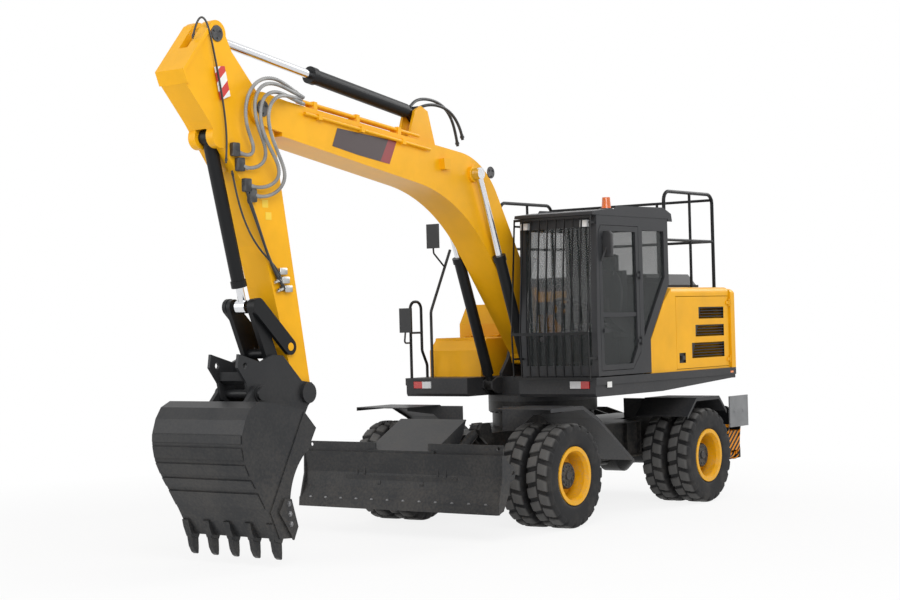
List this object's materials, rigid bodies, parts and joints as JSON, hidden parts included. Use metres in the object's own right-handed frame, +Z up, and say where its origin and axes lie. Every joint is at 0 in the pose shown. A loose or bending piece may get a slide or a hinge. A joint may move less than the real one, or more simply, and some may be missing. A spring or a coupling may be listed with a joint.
{
  "type": "wheeled excavator",
  "caption": "Wheeled excavator with twin tyres, slewing upper structure and barred cab, one-piece boom, stick and bucket on hydraulic rams, front blade and rear outriggers.",
  "frame": {"origin": "on the ground under the middle of the machine's outline", "axes": "+X forward, the way the boom points over the blade; +Y to the machine's left, the cab side; +Z up"},
  "size_m": [8.097, 2.511, 4.8199],
  "materials": {
    "yellow_paint": "gloss yellow paint",
    "charcoal_paint": "satin charcoal grey paint",
    "black_paint": "satin black paint",
    "bucket_paint": "dark grey paint, lightly worn",
    "chrome": "ground and chromed",
    "tyre": "rubber with block tread",
    "glass": "clear safety glass",
    "trim": "moulded cab trim and seat cover",
    "lamp": "lamp lenses and beacon",
    "cast": "painted casting"
  },
  "bodies": {
    "chassis": {"chassis_frame": "black_paint", "slew_ring": "black_paint", "rear_axle": "black_paint", "front_axle": "black_paint", "drive_line": "black_paint", "fenders": "charcoal_paint"},
    "knuckle_left": {"knuckle_left": "black_paint"},
    "knuckle_right": {"knuckle_right": "black_paint"},
    "steering_rod": {"steering_rod": "chrome"},
    "wheel_front_left": {"tyres_front_left": "tyre", "rim_front_left": "yellow_paint"},
    "wheel_front_right": {"tyres_front_right": "tyre", "rim_front_right": "yellow_paint"},
    "wheel_rear_left": {"tyres_rear_left": "tyre", "rim_rear_left": "yellow_paint"},
    "wheel_rear_right": {"tyres_rear_right": "tyre", "rim_rear_right": "yellow_paint"},
    "blade": {"blade": "bucket_paint"},
    "blade_cylinders": {"blade_cylinders": "black_paint"},
    "blade_rods": {"blade_rods": "chrome"},
    "outrigger_leg_left": {"outrigger_leg_left": "black_paint"},
    "outrigger_pad_left": {"outrigger_pad_left": "black_paint"},
    "outrigger_cylinder_left": {"outrigger_cylinder_left": "black_paint"},
    "outrigger_rod_left": {"outrigger_rod_left": "chrome"},
    "outrigger_leg_right": {"outrigger_leg_right": "black_paint"},
    "outrigger_pad_right": {"outrigger_pad_right": "black_paint"},
    "outrigger_cylinder_right": {"outrigger_cylinder_right": "black_paint"},
    "outrigger_rod_right": {"outrigger_rod_right": "chrome"},
    "upper": {"upper_frame": "charcoal_paint", "counterweight": "yellow_paint", "body_panels": "yellow_paint", "engine": "cast", "tanks": "yellow_paint", "handrails": "charcoal_paint", "mirrors": "charcoal_paint", "lamps": "lamp", "cab_shell": "charcoal_paint", "cab_glass": "glass", "cab_interior": "trim", "cab_guard": "charcoal_paint"},
    "hood": {"hood": "charcoal_paint"},
    "toolbox_lid": {"toolbox_lid": "yellow_paint"},
    "engine_door_left": {"engine_door_left": "yellow_paint"},
    "engine_door_right": {"engine_door_right": "yellow_paint"},
    "cab_door": {"cab_door": "charcoal_paint", "cab_door_glass": "glass"},
    "boom": {"boom": "yellow_paint", "boom_pipes": "yellow_paint"},
    "boom_cylinders": {"boom_cylinders": "black_paint"},
    "boom_rods": {"boom_rods": "chrome"},
    "stick": {"stick": "yellow_paint"},
    "stick_cylinder": {"stick_cylinder": "black_paint"},
    "stick_rod": {"stick_rod": "chrome"},
    "bucket_cylinder": {"bucket_cylinder": "black_paint"},
    "bucket_rod": {"bucket_rod": "chrome"},
    "rocker_links": {"rocker_links": "black_paint"},
    "connecting_link": {"connecting_link": "black_paint"},
    "bucket": {"quick_coupler": "bucket_paint", "bucket": "bucket_paint"}
  },
  "joints": [
    {"name": "steer_left", "type": "hinge", "parent": "chassis", "child": "knuckle_left", "pos_m": [-0.218, 0.5997, 0.53], "axis": [0, 0, 1], "range_deg": [-28, 28]},
    {"name": "steer_right", "type": "hinge", "parent": "chassis", "child": "knuckle_right", "pos_m": [-0.218, -0.5997, 0.53], "axis": [0, 0, 1], "range_deg": [-28, 28]},
    {"name": "steering_rod_slide", "type": "slide", "parent": "chassis", "child": "steering_rod", "axis": [0, 1, 0], "range_m": [-0.0753, 0.0753]},
    {"name": "wheel_front_left_spin", "type": "hinge", "parent": "knuckle_left", "child": "wheel_front_left", "pos_m": [-0.218, 0.95, 0.53], "axis": [0, 1, 0], "continuous": true},
    {"name": "wheel_rear_left_spin", "type": "hinge", "parent": "chassis", "child": "wheel_rear_left", "pos_m": [-3.018, 0.95, 0.53], "axis": [0, 1, 0], "continuous": true},
    {"name": "wheel_front_right_spin", "type": "hinge", "parent": "knuckle_right", "child": "wheel_front_right", "pos_m": [-0.218, -0.95, 0.53], "axis": [0, 1, 0], "continuous": true},
    {"name": "wheel_rear_right_spin", "type": "hinge", "parent": "chassis", "child": "wheel_rear_right", "pos_m": [-3.018, -0.95, 0.53], "axis": [0, 1, 0], "continuous": true},
    {"name": "blade_lift", "type": "hinge", "parent": "chassis", "child": "blade", "pos_m": [0.442, 0, 0.6], "axis": [0, -1, 0], "range_deg": [-22, 6]},
    {"name": "blade_cylinder_pivot", "type": "hinge", "parent": "chassis", "child": "blade_cylinders", "pos_m": [0.432, 0, 1.03], "axis": [0, -1, 0], "range_deg": [-13.77, 4.12]},
    {"name": "blade_rod_slide", "type": "slide", "parent": "blade_cylinders", "child": "blade_rods", "axis": [0.848, 0, -0.53], "range_m": [-0.03921, 0.1331]},
    {"name": "outrigger_left", "type": "hinge", "parent": "chassis", "child": "outrigger_leg_left", "pos_m": [-3.818, 1.05, 0.475], "axis": [1, 0, 0], "range_deg": [-130, 0]},
    {"name": "outrigger_pad_left_pivot", "type": "hinge", "parent": "outrigger_leg_left", "child": "outrigger_pad_left", "pos_m": [-3.818, 1.1, 0.985], "axis": [1, 0, 0], "range_deg": [-1, 41]},
    {"name": "outrigger_left_cylinder_pivot", "type": "hinge", "parent": "chassis", "child": "outrigger_cylinder_left", "pos_m": [-3.818, 0.35, 0.76], "axis": [1, 0, 0], "range_deg": [-0.5, 7.2]},
    {"name": "outrigger_left_rod_slide", "type": "slide", "parent": "outrigger_cylinder_left", "child": "outrigger_rod_left", "axis": [0, 0.9625, -0.2712], "range_m": [-0.004, 0.37841]},
    {"name": "outrigger_right", "type": "hinge", "parent": "chassis", "child": "outrigger_leg_right", "pos_m": [-3.818, -1.05, 0.475], "axis": [-1, 0, 0], "range_deg": [-130, 0]},
    {"name": "outrigger_pad_right_pivot", "type": "hinge", "parent": "outrigger_leg_right", "child": "outrigger_pad_right", "pos_m": [-3.818, -1.1, 0.985], "axis": [-1, 0, 0], "range_deg": [-1, 41]},
    {"name": "outrigger_right_cylinder_pivot", "type": "hinge", "parent": "chassis", "child": "outrigger_cylinder_right", "pos_m": [-3.818, -0.35, 0.76], "axis": [-1, 0, 0], "range_deg": [-0.5, 7.2]},
    {"name": "outrigger_right_rod_slide", "type": "slide", "parent": "outrigger_cylinder_right", "child": "outrigger_rod_right", "axis": [0, -0.9625, -0.2712], "range_m": [-0.004, 0.37841]},
    {"name": "slew", "type": "hinge", "parent": "chassis", "child": "upper", "pos_m": [-1.518, 0, 1.235], "axis": [0, 0, 1], "continuous": true},
    {"name": "boom_lift", "type": "hinge", "parent": "upper", "child": "boom", "pos_m": [-1.401, -0.06, 1.75], "axis": [0, -1, 0], "range_deg": [-50, 25]},
    {"name": "boom_cylinder_pivot", "type": "hinge", "parent": "upper", "child": "boom_cylinders", "pos_m": [-0.998, -0.06, 1.42], "axis": [0, -1, 0], "range_deg": [-49.67, 25.08]},
    {"name": "boom_rod_slide", "type": "slide", "parent": "boom_cylinders", "child": "boom_rods", "axis": [0.3656, 0, 0.9308], "range_m": [-0.43534, 0.21967]},
    {"name": "stick_swing", "type": "hinge", "parent": "boom", "child": "stick", "pos_m": [3.079, -0.06, 4.08], "axis": [0, 1, 0], "range_deg": [-97, 8]},
    {"name": "stick_cylinder_pivot", "type": "hinge", "parent": "boom", "child": "stick_cylinder", "pos_m": [0.589, -0.06, 4.23], "axis": [0, 1, 0], "range_deg": [-7.6, 1.09]},
    {"name": "stick_rod_slide", "type": "slide", "parent": "stick_cylinder", "child": "stick_rod", "axis": [0.988, 0, 0.1546], "range_m": [-1.22291, 0.10453]},
    {"name": "bucket_curl", "type": "hinge", "parent": "stick", "child": "bucket", "pos_m": [2.564, -0.06, 1.497], "axis": [0, 1, 0], "range_deg": [-5, 135]},
    {"name": "rocker_pivot", "type": "hinge", "parent": "stick", "child": "rocker_links", "pos_m": [2.78, -0.06, 1.927], "axis": [0, 1, 0], "range_deg": [-5.04, 123.16]},
    {"name": "link_pivot", "type": "hinge", "parent": "rocker_links", "child": "connecting_link", "pos_m": [3.189, -0.06, 2.3], "axis": [0, 1, 0], "range_deg": [-99.68, 4.17]},
    {"name": "bucket_cylinder_pivot", "type": "hinge", "parent": "stick", "child": "bucket_cylinder", "pos_m": [3.582, -0.06, 3.802], "axis": [0, 1, 0], "range_deg": [-4.5, 0.65]},
    {"name": "bucket_rod_slide", "type": "slide", "parent": "bucket_cylinder", "child": "bucket_rod", "axis": [-0.2531, 0, -0.9674], "range_m": [-0.04079, 0.99723]},
    {"name": "cab_door_swing", "type": "hinge", "parent": "upper", "child": "cab_door", "pos_m": [-1.577, 1.252, 2.1], "axis": [0, 0, 1], "range_deg": [0, 165]},
    {"name": "engine_door_left_swing", "type": "hinge", "parent": "upper", "child": "engine_door_left", "pos_m": [-3.591, 1.236, 1.9], "axis": [0, 0, 1], "range_deg": [0, 110]},
    {"name": "engine_door_right_swing", "type": "hinge", "parent": "upper", "child": "engine_door_right", "pos_m": [-3.591, -1.236, 1.9], "axis": [0, 0, -1], "range_deg": [0, 110]},
    {"name": "hood_lift", "type": "hinge", "parent": "upper", "child": "hood", "pos_m": [-2.294, 0, 2.47], "axis": [0, 1, 0], "range_deg": [0, 70]},
    {"name": "toolbox_lid_lift", "type": "hinge", "parent": "upper", "child": "toolbox_lid", "pos_m": [-1.646, 0, 1.947], "axis": [0, -1, 0], "range_deg": [0, 80]}
  ],
  "couplings": [
    {"joint": "steer_right", "follows": "steer_left", "ratio": 1},
    {"joint": "steering_rod_slide", "follows": "steer_left", "m_per_rad": 0.15},
    {"joint": "blade_cylinder_pivot", "follows": "blade_lift", "ratio": 0.60334},
    {"joint": "blade_rod_slide", "follows": "blade_lift", "m_per_rad": -0.33622},
    {"joint": "outrigger_pad_left_pivot", "follows": "outrigger_left", "ratio": -0.30769},
    {"joint": "outrigger_left_cylinder_pivot", "follows": "outrigger_left", "ratio": -0.05152},
    {"joint": "outrigger_left_rod_slide", "follows": "outrigger_left", "m_per_rad": -0.16501},
    {"joint": "outrigger_pad_right_pivot", "follows": "outrigger_right", "ratio": -0.30769},
    {"joint": "outrigger_right_cylinder_pivot", "follows": "outrigger_right", "ratio": -0.05152},
    {"joint": "outrigger_right_rod_slide", "follows": "outrigger_right", "m_per_rad": -0.16501},
    {"joint": "boom_cylinder_pivot", "follows": "boom_lift", "ratio": 0.98331},
    {"joint": "boom_rod_slide", "follows": "boom_lift", "m_per_rad": 0.49427},
    {"joint": "stick_cylinder_pivot", "follows": "stick_swing", "ratio": 0.07315},
    {"joint": "stick_rod_slide", "follows": "stick_swing", "m_per_rad": 0.71998},
    {"joint": "rocker_pivot", "follows": "bucket_curl", "ratio": 0.90856},
    {"joint": "link_pivot", "follows": "bucket_curl", "ratio": -0.73467},
    {"joint": "bucket_cylinder_pivot", "follows": "bucket_curl", "ratio": -0.02962},
    {"joint": "bucket_rod_slide", "follows": "bucket_curl", "m_per_rad": 0.42154}
  ]
}
